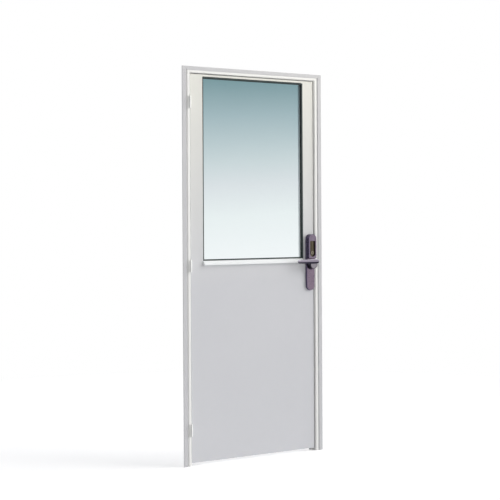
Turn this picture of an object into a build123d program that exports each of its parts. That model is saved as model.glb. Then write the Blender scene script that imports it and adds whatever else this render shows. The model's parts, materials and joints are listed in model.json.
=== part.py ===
from build123d import *
import os

# Half-glazed hinged door with its three-sided frame. Sizes in millimetres.
# X runs along the door's width, Y from the outside face to the room, Z up from the floor.
# The origin is on the floor, midway between the jambs and in the middle of the leaf's thickness.

os.makedirs("parts", exist_ok=True)

# Frame: overall size and the face of its extruded section, from the outer edge inwards
frame_width = 900.0
frame_height = 2100.0
band_width = 23.0
groove_width = 8.0
rib_width = 13.0
step_width = 4.0
groove_depth = 4.0
step_depth = 4.0
wall = 2.0
lip_depth = 4.0
frame_depth = 50.0
stop_reach = 12.0
stop_thickness = 3.0
head_band = 20.0
head_rib = 11.5
head_step = 3.0
head_cover = 17.0
edge_round = 0.8
head_groove_depth = 0.8

# Leaf: thickness, clearances round it and its inner members
leaf_thickness = 35.0
frame_stands_proud = 8.0
edge_gap = 4.0
threshold_gap = 15.5
skin = 1.0
tube_wall = 1.6
bottom_rail_height = 60.0
middle_rail_height = 64.0

# Glazing: the opening cut in the outside skin and what holds the pane
stile_face = 79.0
sight_bottom = 1078.0
sight_head_cover = 11.0
rebate = 14.0
head_rebate = 8.0
gasket_show = 5.0
gasket_thickness = 3.0
back_gasket_thickness = 2.0
pane_thickness = 6.0
pane_clearance = 4.0
pane_head_clearance = 3.0
bead_edge_round = 2.0

# Sill bar under the glass
sill_overhang = 3.0
sill_height = 24.5
sill_reach = 14.0
sill_nose = 9.0
sill_nose_round = 1.2
sill_drop = 1.0

# Weather seal on the stop
seal_width = 8.0
seal_clearance = 0.3
seal_round = 1.5

# Hinges
hinge_from_leaf_bottom = 175.0
hinge_from_leaf_top = 150.0
hinge_length = 60.0
knuckle_radius = 5.0
knuckle_clear = 2.0
knuckle_side_gap = 0.3
knuckle_plate_gap = 0.6
pin_radius = 2.5
pin_running_clearance = 0.05
plate_thickness = 1.8
plate_depth = 20.0
axis_from_jamb = 5.0
pin_cap_height = 2.5
pin_cap_round = 1.5
hinge_screw_radius = 2.2
hinge_screw_length = 11.0
hinge_screw_spacing = 40.0

# Lock: where it sits on the leaf
backset = 28.0
lever_height = 1040.0
latch_rise = 26.0
cylinder_rise = 66.0

# Lock case, face plate, latch and dead bolt
case_depth = 50.0
case_thickness = 18.0
case_height = 155.0
case_drop = 60.0
case_wall = 1.5
face_plate_width = 22.0
face_plate_height = 200.0
face_plate_thickness = 3.0
face_plate_screw_inset = 9.0
latch_throw = 11.0
latch_height = 16.0
latch_thickness = 11.0
latch_head_length = 28.0
latch_tail_height = 6.0
latch_tail_length = 14.0
bevel_depth = 7.0
bevel_land = 1.0
bolt_throw = 15.0
bolt_height = 20.0
bolt_thickness = 11.0
bolt_hold = 7.0
bolt_edge_round = 0.8
bolt_clearance = 0.4
strike_width = 20.0
strike_height = 110.0
strike_margin = 2.0
strike_screw_inset = 8.0
screw_radius = 2.0
screw_head_radius = 3.6
screw_length = 12.0

# Outside lock furniture, its heights counted from the levers' axis
plate_above = 169.5
plate_below = 143.0
plate_end_width = 53.0
plate_middle_width = 55.0
outside_plate_thickness = 13.0
plate_edge_round = 3.0
housing_thickness = 20.0
housing_above = 35.0
housing_edge_round = 2.5
window_width = 36.0
window_head_above = 132.0
window_foot_above = 44.0
window_depth = 12.0
insert_thickness = 2.0
insert_rib_width = 10.0
insert_rib_height = 2.0
insert_rib_foot_gap = 2.0
insert_rib_head_gap = 4.0
insert_gap = 0.5
collar_radius = 11.0
collar_stand = 7.0
collar_round = 1.5
cylinder_radius = 9.5
plug_radius = 6.5
keyway_width = 2.0
keyway_height = 8.0
keyway_depth = 8.0

# Inside lock furniture
inside_plate_thickness = 9.0
inside_plate_above = 106.0
inside_plate_below = 104.0
inside_plate_width = 33.0
inside_plate_middle_width = 36.0
turn_base_radius = 10.0
turn_base_thickness = 5.0
turn_blade_width = 7.0
turn_blade_length = 28.0
turn_reach = 22.0
turn_blade_land = 0.6
tail_size = 5.0
inside_screw_foot_inset = 14.0
inside_screw_head_inset = 12.0
screw_dome_height = 1.4

# Levers: the inside one is smaller round its hub, to swing past the stop
neck_radius = 9.0
neck_clearance = 1.0
running_clearance = 0.06
hub_radius = 22.0
inside_hub_radius = 14.0
hub_stand = 0.4
hub_overlap = 4.0
lever_centre_stand = 47.5
arm_thickness = 15.0
arm_height = 26.0
arm_tip_height = 20.0
arm_tip_reach = 110.0
arm_heel_reach = 30.0
inside_heel_reach = 12.0
arm_rise = 19.0
arm_round = 5.0
spindle_size = 8.0
follower_radius = 9.0
follower_arm = 17.0
follower_thickness = 8.0
follower_arm_width = 6.0

# Fixing holes through both walls of each jamb: one near each end and a pair about the middle
fixing_radius = 3.5
fixing_from_foot = 120.0
fixing_from_head = 103.0
fixing_from_middle = 300.0
drill_over = 1.0

# Places worked out from the sizes above
half_width = frame_width / 2
face_width = band_width + groove_width + rib_width + step_width
head_face = head_band + head_rib + head_step
leaf_front = -leaf_thickness / 2
leaf_back = leaf_thickness / 2
front = leaf_front - frame_stands_proud
back = front + frame_depth
chamber_start = band_width + groove_width
jamb_inner = half_width - face_width
jamb_height = frame_height - head_cover
head_inner = frame_height - head_face
leaf_half = jamb_inner - edge_gap
leaf_bottom = threshold_gap
leaf_top = head_inner - edge_gap
sight_half = leaf_half - stile_face
sight_top = leaf_top - sight_head_cover
rebate_half = sight_half + rebate
rebate_bottom = sight_bottom - rebate
rebate_top = sight_top + head_rebate
inner_front = leaf_front + skin
inner_back = leaf_back - skin
pane_front = inner_front + gasket_thickness
pane_back = pane_front + pane_thickness
bead_front = pane_back + back_gasket_thickness
sill_half = sight_half + sill_overhang
low_hinge = leaf_bottom + hinge_from_leaf_bottom
high_hinge = leaf_top - hinge_from_leaf_top
hinge_heights = {"bottom": low_hinge, "middle": (low_hinge + high_hinge) / 2, "top": high_hinge}
high_fixing = jamb_height - fixing_from_head
middle_fixing = (fixing_from_foot + high_fixing) / 2
fixing_heights = (fixing_from_foot, middle_fixing - fixing_from_middle,
                  middle_fixing + fixing_from_middle, high_fixing)
axis_x = -(jamb_inner + axis_from_jamb)
axis_y = front - knuckle_clear - knuckle_radius
lock_x = leaf_half - backset
latch_z = lever_height + latch_rise
cylinder_z = lever_height + cylinder_rise
case_bottom = lever_height - case_drop
case_right = leaf_half - face_plate_thickness
case_left = case_right - case_depth
face_plate_mid = case_bottom + case_height / 2
strike_mid = (latch_z + cylinder_z) / 2
plate_top = lever_height + plate_above
plate_bottom = lever_height - plate_below
housing_bottom = lever_height + housing_above
window_top = lever_height + window_head_above
window_bottom = lever_height + window_foot_above
inside_plate_top = lever_height + inside_plate_above
inside_plate_bottom = lever_height - inside_plate_below
plate_face = leaf_front - outside_plate_thickness
housing_face = plate_face - housing_thickness
window_floor = housing_face + window_depth
inside_face = leaf_back + inside_plate_thickness
arm_mid_z = lever_height + arm_rise
spindle_half = spindle_size / 2
neck_hole_radius = neck_radius + neck_clearance


def finish(piece, name):
    """Label a finished piece and write it out."""
    piece.part.label = name
    export_step(piece.part, f"parts/{name}.step")


def slab(x0, x1, y0, y1, z0, z1, mode=Mode.ADD):
    """A block between two corners, in the open builder."""
    with Locations(((x0 + x1) / 2, (y0 + y1) / 2, (z0 + z1) / 2)):
        Box(x1 - x0, y1 - y0, z1 - z0, mode=mode)


def rod_y(x, z, y0, y1, radius, mode=Mode.ADD):
    """A round bar or bore along Y, in the open builder."""
    with Locations(Location((x, (y0 + y1) / 2, z), (90, 0, 0))):
        Cylinder(radius, y1 - y0, mode=mode)


def rod_x(y, z, x0, x1, radius, mode=Mode.ADD):
    """A round bar or bore along X, in the open builder."""
    with Locations(Location(((x0 + x1) / 2, y, z), (0, 90, 0))):
        Cylinder(radius, x1 - x0, mode=mode)


# Jambs: one extruded section with a wall flange, groove, rib, hollow chamber and stop
section = [
    (0, front),
    (band_width, front),
    (band_width, front + groove_depth),
    (chamber_start, front + groove_depth),
    (chamber_start, front),
    (chamber_start + rib_width, front),
    (chamber_start + rib_width, front + step_depth),
    (face_width, front + step_depth),
    (face_width, back - stop_thickness),
    (face_width + stop_reach, back - stop_thickness),
    (face_width + stop_reach, back),
    (chamber_start, back),
    (chamber_start, front + groove_depth + wall),
    (band_width - wall, front + groove_depth + wall),
    (band_width - wall, front + wall),
    (wall, front + wall),
    (wall, front + lip_depth),
    (0, front + lip_depth),
]
chamber = [
    (chamber_start + wall, front + wall),
    (chamber_start + rib_width - wall, front + wall),
    (chamber_start + rib_width - wall, front + step_depth + wall),
    (face_width - wall, front + step_depth + wall),
    (face_width - wall, back - wall),
    (chamber_start + wall, back - wall),
]

hinge_screw_places = []
for hinge_z in hinge_heights.values():
    for offset_z in (-hinge_screw_spacing / 2, hinge_screw_spacing / 2):
        hinge_screw_places.append(hinge_z + offset_z)
hinge_screw_y = leaf_front + plate_depth / 2

for jamb_name, side in (("jamb_hinge_side", -1), ("jamb_lock_side", 1)):
    with BuildPart() as jamb:
        with BuildSketch(Plane.XY) as jamb_section:
            with BuildLine():
                Polyline(*[(side * (half_width - u), y) for u, y in section], close=True)
            make_face()
            with BuildLine():
                Polyline(*[(side * (half_width - u), y) for u, y in chamber], close=True)
            make_face(mode=Mode.SUBTRACT)
            front_corners = jamb_section.vertices().filter_by_position(Axis.Y, front - 0.1, front + 0.1)
            fillet(front_corners, edge_round)
        extrude(amount=jamb_height)
        # The stop is cut back where the head's own stop takes over
        stop_edge = side * (jamb_inner - stop_reach)
        slab(min(stop_edge, side * jamb_inner), max(stop_edge, side * jamb_inner),
             back - stop_thickness, back, head_inner - stop_reach, jamb_height, mode=Mode.SUBTRACT)
        # Holes for the screws that hold the frame in the wall
        for fixing_z in fixing_heights:
            near = side * (jamb_inner - drill_over)
            far = side * (half_width - chamber_start + drill_over)
            rod_x(0, fixing_z, min(near, far), max(near, far), fixing_radius, mode=Mode.SUBTRACT)
        if side < 0:
            for screw_z in hinge_screw_places:
                rod_x(hinge_screw_y, screw_z, -jamb_inner - wall, -jamb_inner, hinge_screw_radius,
                      mode=Mode.SUBTRACT)
        else:
            slab(jamb_inner, jamb_inner + wall, -strike_width / 2, strike_width / 2,
                 strike_mid - strike_height / 2, strike_mid + strike_height / 2, mode=Mode.SUBTRACT)
    finish(jamb, jamb_name)

# Head: its own section between the jambs, with a cover strip that runs over both jamb tops
head_section = [
    (front, 0),
    (front, head_band),
    (front, head_band + head_rib),
    (front + step_depth, head_band + head_rib),
    (front + step_depth, head_face),
    (back - stop_thickness, head_face),
    (back - stop_thickness, head_face + stop_reach),
    (back, head_face + stop_reach),
    (back, head_band),
    (front + wall, head_band),
    (front + wall, wall),
    (front + lip_depth, wall),
    (front + lip_depth, 0),
]
head_chamber = [
    (front + wall, head_band + wall),
    (front + wall, head_band + head_rib - wall),
    (front + step_depth + wall, head_band + head_rib - wall),
    (front + step_depth + wall, head_face - wall),
    (back - wall, head_face - wall),
    (back - wall, head_band + wall),
]
with BuildPart() as head_rail:
    with BuildSketch(Plane.YZ.offset(-jamb_inner)):
        with BuildLine():
            Polyline(*[(y, frame_height - v) for y, v in head_section], close=True)
        make_face()
        with BuildLine():
            Polyline(*[(y, frame_height - v) for y, v in head_chamber], close=True)
        make_face(mode=Mode.SUBTRACT)
    extrude(amount=2 * jamb_inner)
    # The cover strip and its lip over each jamb, and the rib carried across each jamb's step
    for x0, x1 in ((-half_width, -jamb_inner), (jamb_inner, half_width)):
        slab(x0, x1, front, front + wall, jamb_height, frame_height)
        slab(x0, x1, front, front + lip_depth, frame_height - wall, frame_height)
    for x0, x1 in ((-half_width, wall - half_width), (half_width - wall, half_width)):
        slab(x0, x1, front, front + lip_depth, jamb_height, frame_height)
    for x0, x1 in ((-jamb_inner - step_width, -jamb_inner), (jamb_inner, jamb_inner + step_width)):
        slab(x0, x1, front, front + step_depth, head_inner + head_step, jamb_height)
    # A shallow line sets the band back from the rib
    slab(-jamb_inner - step_width, jamb_inner + step_width, front, front + head_groove_depth,
         frame_height - head_band, jamb_height, mode=Mode.SUBTRACT)
finish(head_rail, "head_rail")

# Weather seals on the stop, clear of the leaf's back by a hair
seal_front = leaf_back + seal_clearance
seal_back = back - stop_thickness
seal_inset = (stop_reach - seal_width) / 2
for seal_name, side in (("seal_hinge_side", -1), ("seal_lock_side", 1)):
    with BuildPart() as seal:
        seal_x = side * (jamb_inner - seal_inset - seal_width / 2)
        slab(seal_x - seal_width / 2, seal_x + seal_width / 2, seal_front, seal_back,
             0, head_inner - stop_reach)
        fillet(seal.edges().filter_by(Axis.Z).group_by(Axis.Y)[0], seal_round)
    finish(seal, seal_name)

with BuildPart() as seal_head:
    slab(-jamb_inner + stop_reach, jamb_inner - stop_reach, seal_front, seal_back,
         head_inner - seal_inset - seal_width, head_inner - seal_inset)
    fillet(seal_head.edges().filter_by(Axis.X).group_by(Axis.Y)[0], seal_round)
finish(seal_head, "seal_head")

# Leaf: two stile tubes, three rails and a core between two skins
stile_places = {"stile_hinge_side": (-leaf_half, -rebate_half), "stile_lock_side": (rebate_half, leaf_half)}
for stile_name, (x0, x1) in stile_places.items():
    with BuildPart() as stile:
        slab(x0, x1, inner_front, inner_back, leaf_bottom, leaf_top)
        slab(x0 + tube_wall, x1 - tube_wall, inner_front + tube_wall, inner_back - tube_wall,
             leaf_bottom, leaf_top, mode=Mode.SUBTRACT)
        if x0 < 0:
            for screw_z in hinge_screw_places:
                rod_x(hinge_screw_y, screw_z, x0, x0 + tube_wall, hinge_screw_radius, mode=Mode.SUBTRACT)
        else:
            slab(x1 - tube_wall, x1, -face_plate_width / 2, face_plate_width / 2,
                 face_plate_mid - face_plate_height / 2, face_plate_mid + face_plate_height / 2,
                 mode=Mode.SUBTRACT)
            rod_y(lock_x, lever_height, inner_front, inner_back, neck_hole_radius, mode=Mode.SUBTRACT)
            rod_y(lock_x, cylinder_z, inner_front, inner_back, cylinder_radius, mode=Mode.SUBTRACT)
    finish(stile, stile_name)

rail_places = {
    "top_rail": (rebate_top, leaf_top),
    "middle_rail": (rebate_bottom - middle_rail_height, rebate_bottom),
    "bottom_rail": (leaf_bottom, leaf_bottom + bottom_rail_height),
}
for rail_name, (z0, z1) in rail_places.items():
    with BuildPart() as rail:
        slab(-rebate_half, rebate_half, inner_front, inner_back, z0, z1)
        if z1 - z0 > 4 * tube_wall:
            slab(-rebate_half, rebate_half, inner_front + tube_wall, inner_back - tube_wall,
                 z0 + tube_wall, z1 - tube_wall, mode=Mode.SUBTRACT)
    finish(rail, rail_name)

with BuildPart() as panel_core:
    slab(-rebate_half, rebate_half, inner_front, inner_back, rail_places["bottom_rail"][1],
         rail_places["middle_rail"][0])
finish(panel_core, "panel_core")

with BuildPart() as front_skin:
    slab(-leaf_half, leaf_half, leaf_front, inner_front, leaf_bottom, leaf_top)
    slab(-sight_half, sight_half, leaf_front, inner_front, sight_bottom, sight_top, mode=Mode.SUBTRACT)
    rod_y(lock_x, lever_height, leaf_front, inner_front, neck_hole_radius, mode=Mode.SUBTRACT)
    rod_y(lock_x, cylinder_z, leaf_front, inner_front, cylinder_radius, mode=Mode.SUBTRACT)
finish(front_skin, "front_skin")

with BuildPart() as back_skin:
    slab(-leaf_half, leaf_half, inner_back, leaf_back, leaf_bottom, leaf_top)
    slab(-rebate_half, rebate_half, inner_back, leaf_back, rebate_bottom, rebate_top, mode=Mode.SUBTRACT)
    rod_y(lock_x, lever_height, inner_back, leaf_back, neck_hole_radius, mode=Mode.SUBTRACT)
    rod_y(lock_x, cylinder_z, inner_back, leaf_back, cylinder_radius, mode=Mode.SUBTRACT)
finish(back_skin, "back_skin")

# Glazing: a gasket each side of the pane, and beads that clip in from the room side
with BuildPart() as glass_pane:
    slab(-rebate_half + pane_clearance, rebate_half - pane_clearance, pane_front, pane_back,
         rebate_bottom + pane_clearance, rebate_top - pane_head_clearance)
finish(glass_pane, "glass_pane")

gasket_places = {"front_gasket": (inner_front, pane_front), "back_gasket": (pane_back, bead_front)}
for gasket_name, (y0, y1) in gasket_places.items():
    with BuildPart() as gasket:
        slab(-rebate_half, rebate_half, y0, y1, rebate_bottom, rebate_top)
        slab(-sight_half + gasket_show, sight_half - gasket_show, y0, y1,
             sight_bottom + gasket_show, sight_top - gasket_show, mode=Mode.SUBTRACT)
    finish(gasket, gasket_name)

bead_places = {
    "bead_hinge_side": (-rebate_half, -sight_half, sight_bottom, sight_top),
    "bead_lock_side": (sight_half, rebate_half, sight_bottom, sight_top),
    "bead_bottom": (-rebate_half, rebate_half, rebate_bottom, sight_bottom),
    "bead_top": (-rebate_half, rebate_half, sight_top, rebate_top),
}
for bead_name, (x0, x1, z0, z1) in bead_places.items():
    with BuildPart() as bead:
        slab(x0, x1, bead_front, leaf_back, z0, z1)
        long_axis = Axis.X if x1 - x0 > z1 - z0 else Axis.Z
        cross_axis = Axis.Z if long_axis == Axis.X else Axis.X
        towards_glass = -1 if bead_name in ("bead_lock_side", "bead_top") else 1
        glass_side = bead.edges().filter_by(long_axis).group_by(cross_axis)[0 if towards_glass < 0 else -1]
        fillet(glass_side.sort_by(Axis.Y)[-1], bead_edge_round)
    finish(bead, bead_name)

# Sill bar: a sloping top that throws water off, ending in an upright nose
sill_top = sight_bottom - sill_drop
sill_section = [
    (leaf_front, sill_top),
    (leaf_front - sill_reach, sill_top - sill_height + sill_nose),
    (leaf_front - sill_reach, sill_top - sill_height),
    (leaf_front, sill_top - sill_height),
]
with BuildPart() as sill_bar:
    with BuildSketch(Plane.YZ.offset(-sill_half)) as sill_face:
        with BuildLine():
            Polyline(*sill_section, close=True)
        make_face()
        fillet(sill_face.vertices().group_by(Axis.X)[0], sill_nose_round)
    extrude(amount=2 * sill_half)
finish(sill_bar, "sill_bar")

# Hinges: a plate on the jamb with two knuckles, a plate on the leaf's edge with one, and a pin.
# Each plate leaves the gap, turns along the frame's face and rolls up into its knuckles.
knuckle_third = hinge_length / 3
jamb_plate_x = (-jamb_inner, -jamb_inner + plate_thickness)
leaf_plate_x = (-leaf_half - plate_thickness, -leaf_half)
plate_back = leaf_front + plate_depth
plate_front = axis_y + knuckle_radius + knuckle_plate_gap
turned_front = plate_front - plate_thickness
for hinge_place, hinge_z in hinge_heights.items():
    low = hinge_z - hinge_length / 2
    high = hinge_z + hinge_length / 2
    outer_thirds = ((low, low + knuckle_third), (high - knuckle_third, high))
    middle_third = (low + knuckle_third + knuckle_side_gap, high - knuckle_third - knuckle_side_gap)
    with BuildPart() as frame_plate:
        slab(*jamb_plate_x, plate_front, plate_back, low, high)
        for z0, z1 in outer_thirds:
            slab(axis_x, jamb_plate_x[1], turned_front, plate_front, z0, z1)
            with Locations((axis_x, axis_y, (z0 + z1) / 2)):
                Cylinder(knuckle_radius, z1 - z0)
        with Locations((axis_x, axis_y, hinge_z)):
            Cylinder(pin_radius, hinge_length, mode=Mode.SUBTRACT)
        for offset_z in (-hinge_screw_spacing / 2, hinge_screw_spacing / 2):
            rod_x(hinge_screw_y, hinge_z + offset_z, *jamb_plate_x, hinge_screw_radius, mode=Mode.SUBTRACT)
    finish(frame_plate, f"hinge_{hinge_place}_frame_plate")
    with BuildPart() as leaf_plate:
        slab(*leaf_plate_x, plate_front, plate_back, low, high)
        z0, z1 = middle_third
        slab(axis_x, leaf_plate_x[1], turned_front, plate_front, z0, z1)
        with Locations((axis_x, axis_y, hinge_z)):
            Cylinder(knuckle_radius, z1 - z0)
            Cylinder(pin_radius + pin_running_clearance, hinge_length, mode=Mode.SUBTRACT)
        for offset_z in (-hinge_screw_spacing / 2, hinge_screw_spacing / 2):
            rod_x(hinge_screw_y, hinge_z + offset_z, *leaf_plate_x, hinge_screw_radius, mode=Mode.SUBTRACT)
    finish(leaf_plate, f"hinge_{hinge_place}_leaf_plate")
    with BuildPart() as hinge_pin:
        with Locations((axis_x, axis_y, hinge_z)):
            Cylinder(pin_radius, hinge_length)
        with Locations((axis_x, axis_y, high + pin_cap_height / 2),
                       (axis_x, axis_y, low - pin_cap_height / 2)):
            Cylinder(knuckle_radius, pin_cap_height)
        fillet(hinge_pin.edges().filter_by(GeomType.CIRCLE).sort_by(Axis.Z)[-1], pin_cap_round)
        fillet(hinge_pin.edges().filter_by(GeomType.CIRCLE).sort_by(Axis.Z)[0], pin_cap_round)
    finish(hinge_pin, f"hinge_{hinge_place}_pin")

with BuildPart() as hinge_frame_screws:
    for screw_z in hinge_screw_places:
        rod_x(hinge_screw_y, screw_z, jamb_plate_x[1] - hinge_screw_length, jamb_plate_x[1],
              hinge_screw_radius)
finish(hinge_frame_screws, "hinge_frame_screws")

with BuildPart() as hinge_leaf_screws:
    for screw_z in hinge_screw_places:
        rod_x(hinge_screw_y, screw_z, leaf_plate_x[0], leaf_plate_x[0] + hinge_screw_length,
              hinge_screw_radius)
finish(hinge_leaf_screws, "hinge_leaf_screws")

# Lock case in the stile: an open box, its cover, and the face plate on the leaf's edge
case_top = case_bottom + case_height
case_front = -case_thickness / 2
case_back = case_thickness / 2
face_plate_bottom = face_plate_mid - face_plate_height / 2
face_plate_top = face_plate_mid + face_plate_height / 2
latch_hole = (latch_thickness / 2 + bolt_clearance, latch_height / 2 + bolt_clearance)
bolt_hole = (bolt_thickness / 2 + bolt_clearance, bolt_height / 2 + bolt_clearance)


def bolt_holes(x0, x1):
    """Cut the latch's and the dead bolt's way through what is being built."""
    slab(x0, x1, -latch_hole[0], latch_hole[0], latch_z - latch_hole[1], latch_z + latch_hole[1],
         mode=Mode.SUBTRACT)
    slab(x0, x1, -bolt_hole[0], bolt_hole[0], cylinder_z - bolt_hole[1], cylinder_z + bolt_hole[1],
         mode=Mode.SUBTRACT)


with BuildPart() as lock_case:
    slab(case_left, case_right, case_front, case_back - case_wall, case_bottom, case_top)
    slab(case_left + case_wall, case_right - case_wall, case_front + case_wall, case_back - case_wall,
         case_bottom + case_wall, case_top - case_wall, mode=Mode.SUBTRACT)
    bolt_holes(case_right - case_wall, case_right)
    rod_y(lock_x, lever_height, case_front, case_front + case_wall, spindle_size, mode=Mode.SUBTRACT)
    rod_y(lock_x, cylinder_z, case_front, case_front + case_wall, plug_radius, mode=Mode.SUBTRACT)
finish(lock_case, "lock_case")

with BuildPart() as lock_case_cover:
    slab(case_left, case_right, case_back - case_wall, case_back, case_bottom, case_top)
    rod_y(lock_x, lever_height, case_back - case_wall, case_back, spindle_size, mode=Mode.SUBTRACT)
    rod_y(lock_x, cylinder_z, case_back - case_wall, case_back, plug_radius, mode=Mode.SUBTRACT)
finish(lock_case_cover, "lock_case_cover")

face_plate_screw_places = (face_plate_bottom + face_plate_screw_inset,
                           face_plate_top - face_plate_screw_inset)
with BuildPart() as lock_face_plate:
    slab(case_right, leaf_half, -face_plate_width / 2, face_plate_width / 2,
         face_plate_bottom, face_plate_top)
    bolt_holes(case_right, leaf_half)
    for screw_z in face_plate_screw_places:
        rod_x(0, screw_z, case_right, leaf_half, screw_head_radius, mode=Mode.SUBTRACT)
finish(lock_face_plate, "lock_face_plate")

with BuildPart() as face_plate_screws:
    for screw_z in face_plate_screw_places:
        rod_x(0, screw_z, case_right, leaf_half, screw_head_radius)
        rod_x(0, screw_z, leaf_half - screw_length, case_right, screw_radius)
finish(face_plate_screws, "face_plate_screws")

# Latch: a bevelled head and a slim tail that the follower draws back
latch_nose = leaf_half + latch_throw
latch_shoulder = latch_nose - latch_head_length
with BuildPart() as latch_bolt:
    slab(latch_shoulder, latch_nose, -latch_thickness / 2, latch_thickness / 2,
         latch_z - latch_height / 2, latch_z + latch_height / 2)
    slab(latch_shoulder - latch_tail_length, latch_shoulder, -latch_tail_height / 2, latch_tail_height / 2,
         latch_z - latch_tail_height / 2, latch_z + latch_tail_height / 2)
    nose_edges = latch_bolt.edges().filter_by(Axis.Z).group_by(Axis.X)[-1]
    chamfer(nose_edges.sort_by(Axis.Y)[-1], latch_throw - bevel_land, bevel_depth)
finish(latch_bolt, "latch_bolt")

with BuildPart() as dead_bolt:
    slab(leaf_half - bolt_throw - bolt_hold, leaf_half, -bolt_thickness / 2, bolt_thickness / 2,
         cylinder_z - bolt_height / 2, cylinder_z + bolt_height / 2)
    fillet(dead_bolt.faces().sort_by(Axis.X)[-1].edges(), bolt_edge_round)
finish(dead_bolt, "dead_bolt")

# Strike plate let into the lock jamb, with a mouth for each bolt
with BuildPart() as strike_plate:
    slab(jamb_inner, jamb_inner + wall, -strike_width / 2, strike_width / 2,
         strike_mid - strike_height / 2, strike_mid + strike_height / 2)
    for mouth_z, (half_y, half_z) in ((latch_z, latch_hole), (cylinder_z, bolt_hole)):
        slab(jamb_inner, jamb_inner + wall, -half_y - strike_margin / 2, half_y + strike_margin / 2,
             mouth_z - half_z - strike_margin / 2, mouth_z + half_z + strike_margin / 2, mode=Mode.SUBTRACT)
    strike_screw_places = (strike_mid - strike_height / 2 + strike_screw_inset,
                           strike_mid + strike_height / 2 - strike_screw_inset)
    for screw_z in strike_screw_places:
        rod_x(0, screw_z, jamb_inner, jamb_inner + wall, screw_head_radius, mode=Mode.SUBTRACT)
finish(strike_plate, "strike_plate")

with BuildPart() as strike_screws:
    for screw_z in strike_screw_places:
        rod_x(0, screw_z, jamb_inner, jamb_inner + wall, screw_head_radius)
        rod_x(0, screw_z, jamb_inner + wall, jamb_inner + screw_length, screw_radius)
finish(strike_screws, "strike_screws")

# Outside lock plate: round-ended, a little wider at the middle than at its ends
plate_end_radius = plate_end_width / 2
plate_mid_z = (plate_top + plate_bottom) / 2


def plate_outline(bottom, top, end_width, middle_width):
    """A long plate's outline with round ends and sides that swell to the middle."""
    radius = end_width / 2
    middle = (bottom + top) / 2
    left = lock_x - radius
    right = lock_x + radius
    with BuildSketch() as outline:
        with BuildLine():
            ThreePointArc((left, bottom + radius), (lock_x, bottom), (right, bottom + radius))
            ThreePointArc((right, bottom + radius), (lock_x + middle_width / 2, middle),
                          (right, top - radius))
            ThreePointArc((right, top - radius), (lock_x, top), (left, top - radius))
            ThreePointArc((left, top - radius), (lock_x - middle_width / 2, middle),
                          (left, bottom + radius))
        make_face()
    return outline.sketch


with BuildPart() as outside_plate:
    with BuildSketch(Plane.XZ.offset(-leaf_front)):
        add(plate_outline(plate_bottom, plate_top, plate_end_width, plate_middle_width))
    extrude(amount=outside_plate_thickness)
    fillet(outside_plate.faces().sort_by(Axis.Y)[0].edges(), plate_edge_round)
    rod_y(lock_x, lever_height, plate_face, leaf_front, neck_radius + running_clearance, mode=Mode.SUBTRACT)
    rod_y(lock_x, cylinder_z, plate_face, leaf_front, cylinder_radius, mode=Mode.SUBTRACT)
finish(outside_plate, "outside_plate")

# Upper housing: round-topped, with a tall window whose foot is round
window_radius = window_width / 2
with BuildPart() as outside_housing:
    with BuildSketch(Plane.XZ.offset(-plate_face)):
        with BuildLine():
            Polyline((lock_x - plate_end_radius, plate_top - plate_end_radius),
                     (lock_x - plate_end_radius, housing_bottom),
                     (lock_x + plate_end_radius, housing_bottom),
                     (lock_x + plate_end_radius, plate_top - plate_end_radius))
            ThreePointArc((lock_x - plate_end_radius, plate_top - plate_end_radius), (lock_x, plate_top),
                          (lock_x + plate_end_radius, plate_top - plate_end_radius))
        make_face()
    extrude(amount=housing_thickness)
    fillet(outside_housing.faces().sort_by(Axis.Y)[0].edges(), housing_edge_round)
    with BuildSketch(Plane.XZ.offset(-housing_face)):
        with BuildLine():
            Polyline((lock_x - window_radius, window_bottom + window_radius),
                     (lock_x - window_radius, window_top),
                     (lock_x + window_radius, window_top),
                     (lock_x + window_radius, window_bottom + window_radius))
            ThreePointArc((lock_x - window_radius, window_bottom + window_radius), (lock_x, window_bottom),
                          (lock_x + window_radius, window_bottom + window_radius))
        make_face()
    extrude(amount=-window_depth, mode=Mode.SUBTRACT)
    rod_y(lock_x, cylinder_z, window_floor, plate_face, cylinder_radius, mode=Mode.SUBTRACT)
finish(outside_housing, "outside_housing")

# Window lining: a plate on the window's floor with a raised strip above the cylinder
insert_radius = window_radius - insert_gap
with BuildPart() as window_insert:
    with BuildSketch(Plane.XZ.offset(-window_floor)):
        with BuildLine():
            Polyline((lock_x - insert_radius, window_bottom + window_radius),
                     (lock_x - insert_radius, window_top - insert_gap),
                     (lock_x + insert_radius, window_top - insert_gap),
                     (lock_x + insert_radius, window_bottom + window_radius))
            ThreePointArc((lock_x - insert_radius, window_bottom + window_radius),
                          (lock_x, window_bottom + insert_gap),
                          (lock_x + insert_radius, window_bottom + window_radius))
        make_face()
    extrude(amount=insert_thickness)
    insert_face = window_floor - insert_thickness
    slab(lock_x - insert_rib_width / 2, lock_x + insert_rib_width / 2,
         insert_face - insert_rib_height, insert_face,
         cylinder_z + collar_radius + insert_rib_foot_gap, window_top - insert_rib_head_gap)
    rod_y(lock_x, cylinder_z, insert_face, window_floor, cylinder_radius, mode=Mode.SUBTRACT)
finish(window_insert, "window_insert")

# Cylinder: a round body through the leaf with a collar in the window
collar_face = insert_face - collar_stand
with BuildPart() as lock_cylinder:
    rod_y(lock_x, cylinder_z, insert_face, case_front, cylinder_radius)
    rod_y(lock_x, cylinder_z, collar_face, insert_face, collar_radius)
    fillet(lock_cylinder.edges().filter_by(GeomType.CIRCLE).sort_by(Axis.Y)[0], collar_round)
    rod_y(lock_x, cylinder_z, collar_face, case_front, plug_radius + running_clearance, mode=Mode.SUBTRACT)
finish(lock_cylinder, "lock_cylinder")

with BuildPart() as key_plug:
    rod_y(lock_x, cylinder_z, collar_face, case_front, plug_radius)
    slab(lock_x - keyway_width / 2, lock_x + keyway_width / 2, collar_face, collar_face + keyway_depth,
         cylinder_z - keyway_height / 2, cylinder_z + keyway_height / 2, mode=Mode.SUBTRACT)
finish(key_plug, "key_plug")

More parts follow.
